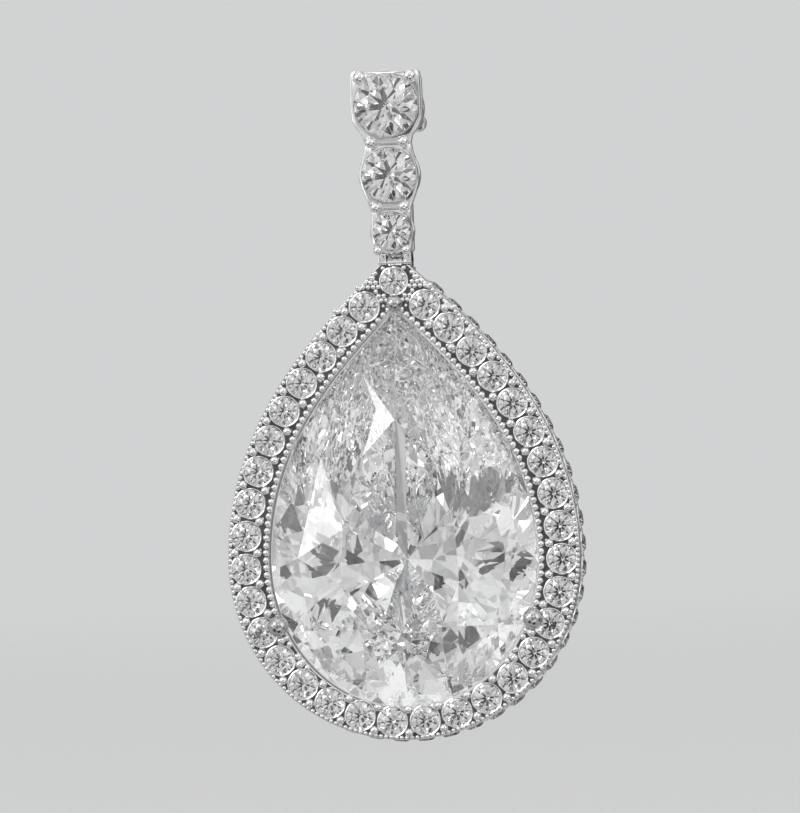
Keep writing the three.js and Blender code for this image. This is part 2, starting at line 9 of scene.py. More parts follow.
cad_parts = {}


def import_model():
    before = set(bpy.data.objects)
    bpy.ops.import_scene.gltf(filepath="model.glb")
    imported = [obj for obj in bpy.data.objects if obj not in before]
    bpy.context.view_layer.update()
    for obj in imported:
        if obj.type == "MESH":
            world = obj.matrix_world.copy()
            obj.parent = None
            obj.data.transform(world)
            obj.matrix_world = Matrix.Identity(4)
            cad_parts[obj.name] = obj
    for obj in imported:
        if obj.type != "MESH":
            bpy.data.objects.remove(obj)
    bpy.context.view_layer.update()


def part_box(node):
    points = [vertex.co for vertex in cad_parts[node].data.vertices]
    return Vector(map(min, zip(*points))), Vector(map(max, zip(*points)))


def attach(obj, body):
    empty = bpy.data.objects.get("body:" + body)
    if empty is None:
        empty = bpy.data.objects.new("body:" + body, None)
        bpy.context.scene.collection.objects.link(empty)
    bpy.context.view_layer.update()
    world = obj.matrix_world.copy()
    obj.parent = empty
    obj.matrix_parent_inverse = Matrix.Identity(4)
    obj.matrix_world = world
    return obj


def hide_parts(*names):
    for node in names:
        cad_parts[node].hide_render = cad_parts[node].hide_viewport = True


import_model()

MM = 0.001
FACING = Matrix.Rotation(math.radians(90), 4, "X")  # brings a piece from the front view to the row's frame
TO_ROW = Matrix.Scale(MM, 4) @ FACING

# Sizes of the hard model that the pieces here follow.
MAIN_STONE = (6.0, 6.6, 11.2)  # half width, round height, point height
STONE_ROW = (7.14, 7.28, 12.69)
BASKET_RAIL = (3.3, 3.5, 6.0)
WIDEST_Y = -20.39
MAIN_EDGE = 2.0
HALO_FACE = 2.3
PLATE_BACK = 1.35
WALL_BACK = -0.25
BASKET_BACK = -3.35
FLANK_PULLS = (0.51, 0.735, 0.441)
POINT_GROWTH = math.sqrt(2)
HINGE = Vector((0, -7.02, 1.02))
NECK_TOP = -7.16
NECK_HALF_WIDTH = 0.74
KNUCKLE_HALF_WIDTH = 0.32
KNUCKLE_RADIUS = 0.52
EAR_RADIUS = 0.54
SIDE_CLEARANCE = 0.07
SWING_CLEARANCE = 0.12
CLAW_SHARE = 0.69  # of the way down the main stone's side

SEAT_ROOM = 0.03  # between a stone's edge and its seat
TURNED_MERGE, RING_MERGE = 1e-5, 1e-4  # corners nearer than this become one

# A round brilliant, as shares of its radius.
TABLE = 0.56
CROWN = 0.32
BREAK = 0.79  # where the crown's kites are widest
GIRDLE = 0.06
PAVILION = 0.84
LOWER_BREAK = 0.24


# Outlines

def pear_half(size, flank_steps=34, round_steps=26):
    """Points down the right side of a pear outline, from its point to the middle of its round end."""
    width, round_height, point_height = size
    pull, pull_point, pull_widest = FLANK_PULLS
    flank = interpolate_bezier(
        Vector((0, point_height, 0)),
        Vector((width * pull, point_height * pull_point, 0)),
        Vector((width, point_height * pull_widest, 0)),
        Vector((width, 0, 0)),
        flank_steps + 1,
    )
    turns = [math.pi / 2 * i / round_steps for i in range(1, round_steps + 1)]
    end = [Vector((width * math.cos(a), -round_height * math.sin(a), 0)) for a in turns]
    return [p + Vector((0, WIDEST_Y, 0)) for p in flank + end]


def pear_loop(size):
    """Points all round a pear outline."""
    right = pear_half(size)
    left = [Vector((-p.x, p.y, 0)) for p in reversed(right[1:-1])]
    return right + left


def grown(size, by):
    width, round_height, point_height = size
    return (width + by, round_height + by, point_height + by * POINT_GROWTH)


def length_of(points):
    return sum((b - a).length for a, b in zip(points, points[1:]))


def place_along(points, distance, side=1):
    """The point at a distance along a line of points, and the direction out of the outline there."""
    for a, b in zip(points, points[1:]):
        step = (b - a).length
        if distance <= step:
            break
        distance -= step
    along = (b - a).normalized()
    at = a + along * distance
    return Vector((side * at.x, at.y, at.z)), Vector((side * -along.y, along.x, 0))


def half_width_at(points, y):
    """How far an outline's side is from its middle line at a height near its point."""
    if y > points[0].y:
        return 0
    return next(b.x for b in points if b.y <= y)


def places_round(size, first, least_pitch, last=0.5):
    """Places at an even pitch down both sides of an outline, the last one part of a pitch from the bottom."""
    points = pear_half(size)
    run = length_of(points) - first
    count = math.floor(run / least_pitch + 0.5)
    pitch = run / (count - 1 + last)
    return [place_along(points, first + i * pitch, side) for side in (1, -1) for i in range(count)]


# Shapes, each added to a bmesh

def add_ball(bm, centre, radius, rounds=3):
    bmesh.ops.create_icosphere(bm, subdivisions=rounds, radius=radius, matrix=Matrix.Translation(centre))


def add_rod(bm, start, end, radius, end_radius=None, sides=24):
    """A round rod between two places, which may end at another radius than it starts with."""
    run = end - start
    turn = run.to_track_quat("Z", "Y").to_matrix().to_4x4()
    bmesh.ops.create_cone(
        bm, cap_ends=True, segments=sides, depth=run.length,
        radius1=radius, radius2=radius if end_radius is None else end_radius,
        matrix=Matrix.Translation((start + end) / 2) @ turn,
    )


def add_box(bm, low, high, soft=0.0):
    """A box between two corners, with its edges rounded where a softness is given."""
    place = Matrix.Translation((low + high) / 2) @ Matrix.Diagonal((*(high - low), 1))
    made = bmesh.ops.create_cube(bm, size=1, matrix=place)
    if soft:
        round_edges(bm, {e for v in made["verts"] for e in v.link_edges}, soft)


def round_edges(bm, edges, soft):
    bmesh.ops.bevel(
        bm, geom=list(edges), offset=soft, segments=2, profile=0.5, affect="EDGES", material=-1,
        clamp_overlap=True,
    )


def append(bm, other):
    """Adds another shape to this one."""
    mesh = bpy.data.meshes.new("part")
    other.to_mesh(mesh)
    other.free()
    bm.from_mesh(mesh)
    bpy.data.meshes.remove(mesh)


def add_turned(bm, profile, place, steps=40):
    """A turned shape about its own Z axis, from pairs of radius and height round its section."""
    shape = bmesh.new()
    verts = [shape.verts.new((radius, 0, height)) for radius, height in profile]
    edges = [shape.edges.new((a, b)) for a, b in zip(verts, verts[1:])]
    if profile[0][0]:
        edges.append(shape.edges.new((verts[-1], verts[0])))
    bmesh.ops.spin(
        shape, geom=verts + edges, cent=(0, 0, 0), axis=(0, 0, 1), angle=2 * math.pi, steps=steps,
        use_merge=True,
    )
    bmesh.ops.remove_doubles(shape, verts=shape.verts[:], dist=TURNED_MERGE)
    shape.transform(place)
    append(bm, shape)


def add_wire_ring(bm, place, radius, wire, steps=28, sides=8):
    """A thin ring of round wire about its own Z axis."""
    turns = [2 * math.pi * i / sides for i in range(sides)]
    add_turned(bm, [(radius + wire * math.cos(a), wire * math.sin(a)) for a in turns], place, steps)


def add_ring(bm, outer, inner, front, back, soft):
    """A flat ring between two pear outlines, with its long edges taken off."""
    section = [
        (outer, back + soft), (outer, front - soft),
        (grown(outer, -soft), front), (grown(inner, soft), front),
        (inner, front - soft), (inner, back + soft),
        (grown(inner, soft), back), (grown(outer, -soft), back),
    ]
    rows = [[Vector((p.x, p.y, height)) for p in pear_loop(size)] for size, height in section]
    shape = bmesh.new()
    verts = [shape.verts.new(p) for p in rows[0]]
    edges = [shape.edges.new((a, b)) for a, b in zip(verts, verts[1:] + verts[:1])]
    for row, next_row in zip(rows, rows[1:] + rows[:1]):
        drawn = bmesh.ops.extrude_edge_only(shape, edges=edges)["geom"]
        verts = {v for v in drawn if isinstance(v, bmesh.types.BMVert)}
        edges = [e for e in drawn if isinstance(e, bmesh.types.BMEdge) and set(e.verts) <= verts]
        moved = {tuple(round(c, 4) for c in p): q for p, q in zip(row, next_row)}
        for v in verts:
            v.co = moved[tuple(round(c, 4) for c in v.co)]
    bmesh.ops.remove_doubles(shape, verts=shape.verts[:], dist=RING_MERGE)
    append(bm, shape)


def add_stone(bm, corners, place):
    """A cut stone: the convex hull of its facets' corners, set at a place."""
    verts = [bm.verts.new(place @ Vector(corner)) for corner in corners]
    hull = bmesh.ops.convex_hull(bm, input=verts)
    inside = [v for v in hull["geom_interior"] if isinstance(v, bmesh.types.BMVert)]
    bmesh.ops.delete(bm, geom=inside, context="VERTS")


def circle(count, radius, height, turn=0.0):
    """Corners evenly round a circle, turned by a share of the step between two of them."""
    turns = [2 * math.pi * (i + turn) / count for i in range(count)]
    return [(radius * math.cos(a), radius * math.sin(a), height) for a in turns]


def brilliant(radius):
    """Corners of a round brilliant whose edge is at height 0, from its table down to its culet."""
    narrow = math.cos(math.pi / 8)
    kite_height = CROWN * (1 - BREAK * narrow) / (1 - TABLE)
    lower_depth = PAVILION * (1 - LOWER_BREAK * narrow)
    corners = circle(8, TABLE, CROWN) + circle(8, BREAK, kite_height, 0.5) + circle(16, 1, 0)
    corners += circle(16, 1, -GIRDLE) + circle(8, LOWER_BREAK, -GIRDLE - lower_depth, 0.5)
    corners.append((0, 0, -GIRDLE - PAVILION))
    return [Vector(corner) * radius for corner in corners]


# Pieces

BRIGHT, DARK = 0, 1  # places of the silver and of the dark silver that paints shade, in a metal piece


def object_from(name, bm, materials):
    """An object in the scene that holds a bmesh as it is."""
    mesh = bpy.data.meshes.new(name)
    bm.to_mesh(mesh)
    bm.free()
    for material in materials:
        mesh.materials.append(material)
    obj = bpy.data.objects.new(name, mesh)
    bpy.context.scene.collection.objects.link(obj)
    return obj


def carved(bm, tool, inside=DARK):
    """The shape without what the tool takes away. The cut faces are bright silver, or the dark silver that
    paints shade inside a cut.
    """
    for shape in (bm, tool):
        bmesh.ops.recalc_face_normals(shape, faces=shape.faces[:])
    for face in tool.faces:
        face.material_index = inside
    blank, cutter = object_from("blank", bm, SILVER_AND_PAINTED_SHADE), object_from("cutter", tool, SILVER_AND_PAINTED_SHADE)
    modifier = blank.modifiers.new("cut", "BOOLEAN")
    modifier.object = cutter
    modifier.operation = "DIFFERENCE"
    modifier.solver = "EXACT"
    depsgraph = bpy.context.evaluated_depsgraph_get()
    cut = bpy.data.meshes.new_from_object(blank.evaluated_get(depsgraph))
    result = bmesh.new()
    result.from_mesh(cut)
    spent = [cut, blank.data, cutter.data]
    for obj in (blank, cutter):
        bpy.data.objects.remove(obj)
    for mesh in spent:
        bpy.data.meshes.remove(mesh)
    return result


def piece(name, bm, body, materials, replaces, smooth_angle=40):
    """Brings a finished shape into the row's frame as a piece that rides on a body."""
    bmesh.ops.recalc_face_normals(bm, faces=bm.faces[:])
    bm.transform(TO_ROW)
    obj = object_from(name, bm, materials)
    if smooth_angle:
        obj.data.shade_smooth()
        obj.data.set_sharp_from_angle(angle=math.radians(smooth_angle))
    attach(obj, body)
    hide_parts(*replaces)


def seat_of(node):
    """The middle of a round stone's edge as seen from the front, and the stone's radius."""
    low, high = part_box(node)
    radius = (high.x - low.x) / 2 / MM
    edge = -low.y / MM - CROWN * radius
    return Vector(((low.x + high.x) / 2 / MM, (low.z + high.z) / 2 / MM, edge)), radius


# Node groups

def group_with(name, inputs, outputs):
    group = bpy.data.node_groups.new(name, "ShaderNodeTree")
    for label, kind, value in inputs:
        socket = group.interface.new_socket(name=label, in_out="INPUT", socket_type=kind)
        socket.default_value = value
    for label, kind in outputs:
        group.interface.new_socket(name=label, in_out="OUTPUT", socket_type=kind)
    return group


def polish_group():
    """Polished metal: soft differences in gloss, fine buffing lines and a little tarnish in patches."""
    group = group_with(
        "polish",
        [("Vector", "NodeSocketVector", (0, 0, 0)), ("Patch Scale", "NodeSocketFloat", 900.0),
         ("Line Scale", "NodeSocketFloat", 9000.0), ("Least Roughness", "NodeSocketFloat", 0.05),
         ("Most Roughness", "NodeSocketFloat", 0.2)],
        [("Roughness", "NodeSocketFloat"), ("Height", "NodeSocketFloat"), ("Tarnish", "NodeSocketFloat")],
    )
    nodes, links = group.nodes, group.links
    source = nodes.new("NodeGroupInput")
    sink = nodes.new("NodeGroupOutput")
    patches = nodes.new("ShaderNodeTexNoise")
    patches.inputs["Detail"].default_value = 3
    links.new(source.outputs["Vector"], patches.inputs["Vector"])
    links.new(source.outputs["Patch Scale"], patches.inputs["Scale"])
    gloss = nodes.new("ShaderNodeMapRange")
    gloss.inputs["From Min"].default_value = 0.35
    gloss.inputs["From Max"].default_value = 0.7
    links.new(patches.outputs["Fac"], gloss.inputs["Value"])
    links.new(source.outputs["Least Roughness"], gloss.inputs["To Min"])
    links.new(source.outputs["Most Roughness"], gloss.inputs["To Max"])
    links.new(gloss.outputs["Result"], sink.inputs["Roughness"])
    stretch = nodes.new("ShaderNodeMapping")
    stretch.inputs["Scale"].default_value = (1, 1, 0.15)
    lines = nodes.new("ShaderNodeTexNoise")
    lines.inputs["Detail"].default_value = 1
    links.new(source.outputs["Vector"], stretch.inputs["Vector"])
    links.new(stretch.outputs["Vector"], lines.inputs["Vector"])
    links.new(source.outputs["Line Scale"], lines.inputs["Scale"])
    links.new(lines.outputs["Fac"], sink.inputs["Height"])
    tarnish = nodes.new("ShaderNodeMapRange")
    tarnish.inputs["From Min"].default_value = 0.5
    tarnish.inputs["From Max"].default_value = 0.75
    links.new(patches.outputs["Fac"], tarnish.inputs["Value"])
    links.new(tarnish.outputs["Result"], sink.inputs["Tarnish"])
    return group


def facet_group():
    """Polished stone: faint clouds inside, and facets that are not quite flat."""
    group = group_with(
        "facet_polish",
        [("Vector", "NodeSocketVector", (0, 0, 0)), ("Cloud Scale", "NodeSocketFloat", 400.0),
         ("Wave Scale", "NodeSocketFloat", 900.0)],
        [("Cloud", "NodeSocketFloat"), ("Height", "NodeSocketFloat")],
    )
    nodes, links = group.nodes, group.links
    source = nodes.new("NodeGroupInput")
    sink = nodes.new("NodeGroupOutput")
    for scale, output, detail in (("Cloud Scale", "Cloud", 4), ("Wave Scale", "Height", 1)):
        noise = nodes.new("ShaderNodeTexNoise")
        noise.inputs["Detail"].default_value = detail
        links.new(source.outputs["Vector"], noise.inputs["Vector"])
        links.new(source.outputs[scale], noise.inputs["Scale"])
        links.new(noise.outputs["Fac"], sink.inputs[output])
    return group


POLISH = polish_group()
FACETS = facet_group()


# Materials

LINE_DEPTH = 2e-6  # in metres, as are the waves
FACET_WAVE = 2e-5
STONE_IOR = 2.16


def material_with(name, group):
    """A new material: its nodes and links, its shader, and a group fed with object coordinates."""
    material = bpy.data.materials.new(name)
    material.use_nodes = True
    nodes, links = material.node_tree.nodes, material.node_tree.links
    shader = nodes["Principled BSDF"]
    coordinates = nodes.new("ShaderNodeTexCoord")
    effect = nodes.new("ShaderNodeGroup")
    effect.node_tree = group
    links.new(coordinates.outputs["Object"], effect.inputs["Vector"])
    return material, nodes, links, shader, effect


def two_tones(nodes, links, mask, first, second, target):
    """Blends two colours by a mask into a colour socket."""
    mix = nodes.new("ShaderNodeMix")
    mix.data_type = "RGBA"
    mix.inputs["A"].default_value = (*first, 1)
    mix.inputs["B"].default_value = (*second, 1)
    links.new(mask, mix.inputs["Factor"])
    links.new(mix.outputs["Result"], target)


def relief(nodes, links, height, shader, strength, distance):
    bump = nodes.new("ShaderNodeBump")
    bump.inputs["Strength"].default_value = strength
    bump.inputs["Distance"].default_value = distance
    links.new(height, bump.inputs["Height"])
    links.new(bump.outputs["Normal"], shader.inputs["Normal"])


def silver(name, bright, tarnished, least, most, lines=0.25):
    """Polished metal between two tones and two roughnesses, with buffing lines of a strength."""
    material, nodes, links, shader, polish = material_with(name, POLISH)
    polish.inputs["Least Roughness"].default_value = least
    polish.inputs["Most Roughness"].default_value = most
    shader.inputs["Metallic"].default_value = 1
    links.new(polish.outputs["Roughness"], shader.inputs["Roughness"])
    two_tones(nodes, links, polish.outputs["Tarnish"], bright, tarnished, shader.inputs["Base Color"])
    relief(nodes, links, polish.outputs["Height"], shader, lines, LINE_DEPTH)
    return material


def cut_stone(name, clear, cloudy):
    """A clear stone with faint clouds, and facets that are not quite flat."""
    material, nodes, links, shader, facets = material_with(name, FACETS)
    shader.inputs["Transmission Weight"].default_value = 1
    shader.inputs["Metallic"].default_value = 0
    shader.inputs["IOR"].default_value = STONE_IOR
    shader.inputs["Roughness"].default_value = 0
    two_tones(nodes, links, facets.outputs["Cloud"], clear, cloudy, shader.inputs["Base Color"])
    relief(nodes, links, facets.outputs["Height"], shader, 0.1, FACET_WAVE)
    return material


BRIGHT_SILVER = silver("bright_silver", (0.95, 0.95, 0.955), (0.82, 0.82, 0.83), 0.12, 0.24)
# Dark silver painted where shade falls: in the seats, in the rail's holes and on the ground between the
# beads.
SEAT_PAINTED_SHADE = silver("painted_shade_in_seats", (0.16, 0.16, 0.165), (0.08, 0.08, 0.083), 0.25, 0.5)
# The claws' silver, painted darker than the same silver elsewhere: a painted dark reflection round their
# highlights.
CLAW_PAINTED_DARK_SILVER = silver("claw_silver_painted_dark", (0.6, 0.6, 0.605), (0.42, 0.42, 0.43), 0.08, 0.16)
POST_SILVER = silver("post_silver", (0.86, 0.86, 0.865), (0.72, 0.72, 0.73), 0.1, 0.22, 0.4)
CLEAR_STONE = cut_stone("clear_stone", (0.99, 0.99, 0.995), (0.93, 0.94, 0.95))
MAIN_CLEAR_STONE = cut_stone("main_clear_stone", (0.985, 0.988, 0.99), (0.94, 0.945, 0.955))

SILVER_AND_PAINTED_SHADE = [BRIGHT_SILVER, SEAT_PAINTED_SHADE]


# The stem

STEM_STONES = ["stem_stone_top", "stem_stone_middle", "stem_stone_bottom"]
RAIL_FRONT = 0.8
RAIL_FOOT = -6.5
RAIL_HALF_WIDTH = 0.78
LOBE_DISC = 1.45  # radius of the flat disc that rests on the lobe
EAR_TOP = -5.7
CUP_FOOT = 0.4
CUP_DROP = 0.2  # from the stone's edge down to the cup's rim
CUP_WALL = 0.15
CUP_TAPER = 0.76
SHOULDER_DEPTH = 0.75
SHOULDER_DROP = 0.1  # from the stone's edge down to the shoulders' face
# The right side of the metal round each stem stone, from the top down.
SHOULDERS = [
    [(0.45, 1.5), (0.9, 1.52), (1.3, 1.62), (1.52, 1.5), (1.6, 1.15), (1.62, 0.1), (1.57, -0.6), (1.4, -1.0),
     (1.12, -1.36), (1.05, -1.68), (0.5, -1.72)],
    [(0.5, -1.66), (1.02, -1.66), (1.08, -2.05), (1.28, -2.7), (1.36, -3.12), (1.28, -3.6), (1.08, -4.15),
     (0.9, -4.62), (0.45, -4.62)],
    [(0.45, -4.56), (0.88, -4.56), (0.9, -5.0), (0.93, -5.63), (0.89, -6.1), (0.82, -6.42), (0.4, -6.42)],
]
CLAW_FOOT = 0.5
CLAW_WIRE = (0.21, 0.19)  # radius at the foot and at the tip
# Claws of the stem: how far to the side, how high, the height of the foot, how far forward, the tip's radius.
STEM_CLAWS = [
    (1.131, 1.256, 0.955, 3.2, 0.3),
    (0.74, -1.67, -1.67, 3.2, 0.25),
    (0.635, -4.57, -4.57, 2.9, 0.25),
    (0.635, -6.49, -6.49, 2.55, 0.21),
]


def stem_stones():
    for node in STEM_STONES:
        middle, radius = seat_of(node)
        bm = bmesh.new()
        add_stone(bm, brilliant(radius), Matrix.Translation(middle) @ Matrix.Rotation(math.pi / 16, 4, "Z"))
        piece(node + "_cut", bm, "stem", [CLEAR_STONE], [node], 0)


def cup_profile(radius, height):
    """A tapered cup's wall, from its foot up to the rim and down inside to the hole behind the stone."""
    wide = radius + CUP_WALL
    run = height - CUP_FOOT
    return [
        (wide * CUP_TAPER, CUP_FOOT),
        (wide * (CUP_TAPER + 0.04), CUP_FOOT + 0.06 * run),
        (wide * (CUP_TAPER + 0.04), CUP_FOOT + 0.2 * run),
        (wide * (CUP_TAPER + 0.03), CUP_FOOT + 0.24 * run),
        (wide * 0.93, CUP_FOOT + 0.72 * run),
        (wide, CUP_FOOT + 0.78 * run),
        (wide, height - 0.04),
        (wide - 0.04, height),
        (radius + SEAT_ROOM, height),
        (radius + SEAT_ROOM, height - 0.1 * radius),
        (radius * 0.6, height - 0.5 * radius),
        (radius * 0.5, CUP_FOOT),
    ]


def shoulders(bm, node, right_side):
    """The metal round a stem stone, with the outline that the claws stand on."""
    middle, radius = seat_of(node)
    outline = right_side + [(-x, y) for x, y in reversed(right_side)]
    blank = bmesh.new()
    face = blank.faces.new([blank.verts.new((x, y, middle.z - SHOULDER_DEPTH)) for x, y in outline])
    drawn = bmesh.ops.extrude_face_region(blank, geom=[face])["geom"]
    front = [v for v in drawn if isinstance(v, bmesh.types.BMVert)]
    bmesh.ops.translate(blank, verts=front, vec=(0, 0, SHOULDER_DEPTH - SHOULDER_DROP))
    bmesh.ops.recalc_face_normals(blank, faces=blank.faces[:])
    rim = {e for e in blank.edges if all(v in front for v in e.verts)}
    round_edges(blank, rim, 0.08)
    wide, through = radius + SEAT_ROOM, -SHOULDER_DEPTH - 0.2
    profile = [(0, 1), (wide, 1), (wide, -0.08), (radius * 0.5, through), (0, through)]
    seat = bmesh.new()
    add_turned(seat, profile, Matrix.Translation(middle))
    append(bm, carved(blank, seat, BRIGHT))


def ear(bm, side):
    """One ear of the hinge, which hangs from the rail beside the knuckle."""
    inner = side * (KNUCKLE_HALF_WIDTH + SIDE_CLEARANCE)
    outer = side * NECK_HALF_WIDTH
    add_rod(bm, HINGE + Vector((inner, 0, 0)), HINGE + Vector((outer, 0, 0)), EAR_RADIUS, sides=40)
    low = Vector((min(inner, outer), HINGE.y, HINGE.z - EAR_RADIUS))
    add_box(bm, low, Vector((max(inner, outer), EAR_TOP, HINGE.z + EAR_RADIUS)), 0.05)


def stem_metal():
    """The back rail with its holes, the disc on the lobe, the cups and shoulders, and the hinge's ears."""
    blank = bmesh.new()
    add_box(blank, Vector((-RAIL_HALF_WIDTH, RAIL_FOOT, 0)), Vector((RAIL_HALF_WIDTH, 0, RAIL_FRONT)), 0.12)
    tool = bmesh.new()
    for node in STEM_STONES[1:]:
        middle, radius = seat_of(node)
        add_rod(tool, Vector((0, middle.y, -1)), Vector((0, middle.y, 2)), radius / 2, sides=32)
    # The holes' walls take the dark silver that paints the shade in them.
    bm = carved(blank, tool)
    disc = [
        (0, 0), (LOBE_DISC - 0.12, 0), (LOBE_DISC, 0.08), (LOBE_DISC, 0.66),
        (LOBE_DISC - 0.14, RAIL_FRONT), (0, RAIL_FRONT),
    ]
    add_turned(bm, disc, Matrix.Identity(4), 56)
    for node in STEM_STONES:
        middle, radius = seat_of(node)
        add_turned(bm, cup_profile(radius, middle.z - CUP_DROP), Matrix.Translation((0, middle.y, 0)), 56)
    for node, right_side in zip(STEM_STONES, SHOULDERS):
        shoulders(bm, node, right_side)
    ear(bm, 1)
    ear(bm, -1)
    piece("stem_cups_and_rail", bm, "stem", SILVER_AND_PAINTED_SHADE, ["stem_setting"])


def stem_claws():
    bm = bmesh.new()
    for across, up, foot, forward, tip in STEM_CLAWS:
        for side in (1, -1):
            end = Vector((side * across, up, forward))
            add_rod(bm, Vector((side * across * CUP_TAPER, foot, CLAW_FOOT)), end, *CLAW_WIRE, 20)
            add_ball(bm, end, tip, 4)
    piece("stem_claws", bm, "stem", SILVER_AND_PAINTED_SHADE, ["stem_setting"])


# The ear post from its root in the disc, past the groove of its back, to its rounded end.
POST_PROFILE = [
    (0, 0.47), (0.42, 0.47), (0.42, -8.55), (0.33, -8.68), (0.33, -8.92), (0.42, -9.05),
    (0.42, -10.08), (0.39, -10.25), (0.3, -10.38), (0.16, -10.47), (0, -10.5),
]
PIN_RADIUS = 0.25


def post_and_pin():
    post = bmesh.new()
    add_turned(post, POST_PROFILE, Matrix.Identity(4))
    piece("ear_post_turned", post, "stem", [POST_SILVER], ["ear_post"])
    pin = bmesh.new()
    half = Vector((NECK_HALF_WIDTH, 0, 0))
    add_rod(pin, HINGE - half, HINGE + half, PIN_RADIUS, sides=32)
    end_edges = {e for e in pin.edges if e.calc_face_angle(0) > 1}
    round_edges(pin, end_edges, 0.04)
    piece("hinge_pin_turned", pin, "stem", SILVER_AND_PAINTED_SHADE, ["hinge_pin"])


# The drop

HALO_NODES = ["halo_stone_%02d" % i for i in range(1, 35)]
RIGHT_SIDE, LEFT_SIDE = HALO_NODES[:17], HALO_NODES[17:]
ALL_HALO = HALO_NODES + ["point_stone"]
PLATE_FACE = HALO_FACE - 0.06
NECK_FACE = HALO_FACE - 0.4
NECK_FOOT = -8.46
KNUCKLE_REACH = 1.24  # from the hinge down into the wall
PLATE_EDGE = grown(STONE_ROW, 0.81)
PLATE_INSIDE = grown(MAIN_STONE, 0.1)
BAND_OUTER = grown(PLATE_EDGE, -0.05)
BAND_INNER = grown(BAND_OUTER, -0.42)
WALL_EDGE = grown(BAND_INNER, -0.03)
WALL_INSIDE = grown(WALL_EDGE, -0.75)


def halo_stones():
    turn = random.Random(7)
    for node in ALL_HALO:
        middle, radius = seat_of(node)
        bm = bmesh.new()
        spun = Matrix.Rotation(turn.uniform(0, math.pi / 4), 4, "Z")
        add_stone(bm, brilliant(radius), Matrix.Translation(middle) @ spun)
        piece(node + "_cut", bm, "drop", [CLEAR_STONE], [node], 0)


def above_neck():
    """What a cut takes away above the neck's flat top."""
    tool = bmesh.new()
    add_box(tool, Vector((-6, NECK_TOP, -4)), Vector((6, 0, 4)))
    return tool


def hinge_room():
    """What a cut takes away round the ears of the hinge."""
    half = Vector((NECK_HALF_WIDTH + SIDE_CLEARANCE, 0, 0))
    tool = bmesh.new()
    add_rod(tool, HINGE - half, HINGE + half, SWING_CLEARANCE + EAR_RADIUS, sides=40)
    return tool


def paint_shade_on_ground(bm):
    """Paints shade on the ground between the beads: faces that look straight out to the front get the dark
    silver of the seats.
    """
    bm.normal_update()
    for face in bm.faces:
        if face.normal.z > 0.95:
            face.material_index = DARK


def halo_plate():
    """The halo's plate with a cut seat for every stone, and the neck's block that holds the point stone."""
    blank = bmesh.new()
    add_ring(blank, PLATE_EDGE, PLATE_INSIDE, PLATE_FACE, PLATE_BACK, 0.05)
    tool = bmesh.new()
    for node in ALL_HALO:
        middle, radius = seat_of(node)
        wide = radius + SEAT_ROOM
        seat = [(0, 0.5), (wide, 0.5), (wide, -0.08), (radius * 0.45, -0.55), (radius * 0.4, -2), (0, -2)]
        add_turned(tool, seat, Matrix.Translation(middle), 20)
    # The seats' cut faces take the dark silver that paints the shade in them.
    bm = carved(carved(carved(blank, above_neck(), BRIGHT), hinge_room(), BRIGHT), tool)
    paint_shade_on_ground(bm)
    neck = bmesh.new()
    low = Vector((-NECK_HALF_WIDTH, NECK_FOOT, WALL_BACK))
    add_box(neck, low, Vector((NECK_HALF_WIDTH, NECK_TOP, NECK_FACE)), 0.05)
    middle, radius = seat_of("point_stone")
    wide = radius + 0.02
    seat = bmesh.new()
    add_turned(seat, [(0, 0.5), (wide, 0.5), (wide, -0.06), (0, -0.75)], Matrix.Translation(middle), 24)
    # The point stone's seat is lined with the dark silver that paints shade.
    append(bm, carved(carved(neck, hinge_room(), BRIGHT), seat))
    piece("halo_plate", bm, "drop", SILVER_AND_PAINTED_SHADE, ["drop_setting"], 30)


def halo_wall():
    """The wall behind the plate, with the knuckle that the pin goes through."""
    wall = bmesh.new()
    add_ring(wall, WALL_EDGE, WALL_INSIDE, PLATE_BACK, WALL_BACK, 0.06)
    bm = carved(wall, above_neck(), BRIGHT)
    half = Vector((KNUCKLE_HALF_WIDTH, 0, 0))
    add_rod(bm, HINGE - half, HINGE + half, KNUCKLE_RADIUS, sides=40)
    low = HINGE - half - Vector((0, KNUCKLE_REACH, KNUCKLE_RADIUS))
    add_box(bm, low, HINGE + half + Vector((0, 0, KNUCKLE_RADIUS)), 0.05)
    piece("halo_wall_and_knuckle", bm, "drop", SILVER_AND_PAINTED_SHADE, ["drop_setting"])


RIM_WIRE = 0.045


def seat_rims():
    """A thin bright rim round every stone of the halo."""
    bm = bmesh.new()
    for node in ALL_HALO:
        middle, radius = seat_of(node)
        add_wire_ring(bm, Matrix.Translation(middle), radius + RIM_WIRE, RIM_WIRE)
    piece("halo_seat_rims", bm, "drop", SILVER_AND_PAINTED_SHADE, ["drop_setting"])


NECK_BEAD = 0.12
NECK_PITCH = 0.235
NECK_ROWS = 16
ROW_SHARE = 0.87  # of the pitch, from row to row
GRAIN_BEAD = 0.2
GRAIN_OFFSET = 0.52  # from the middle of the row of stones
# Rows of the inner edge: out from the main stone, first place, pitch, radius, room from a stone's middle.
INNER_ROWS = [(0.22, 0.4, 0.33, 0.165, 0.78), (0.49, 0.7, 0.2, 0.09, 0.8)]
OUTER_BEAD = 0.115


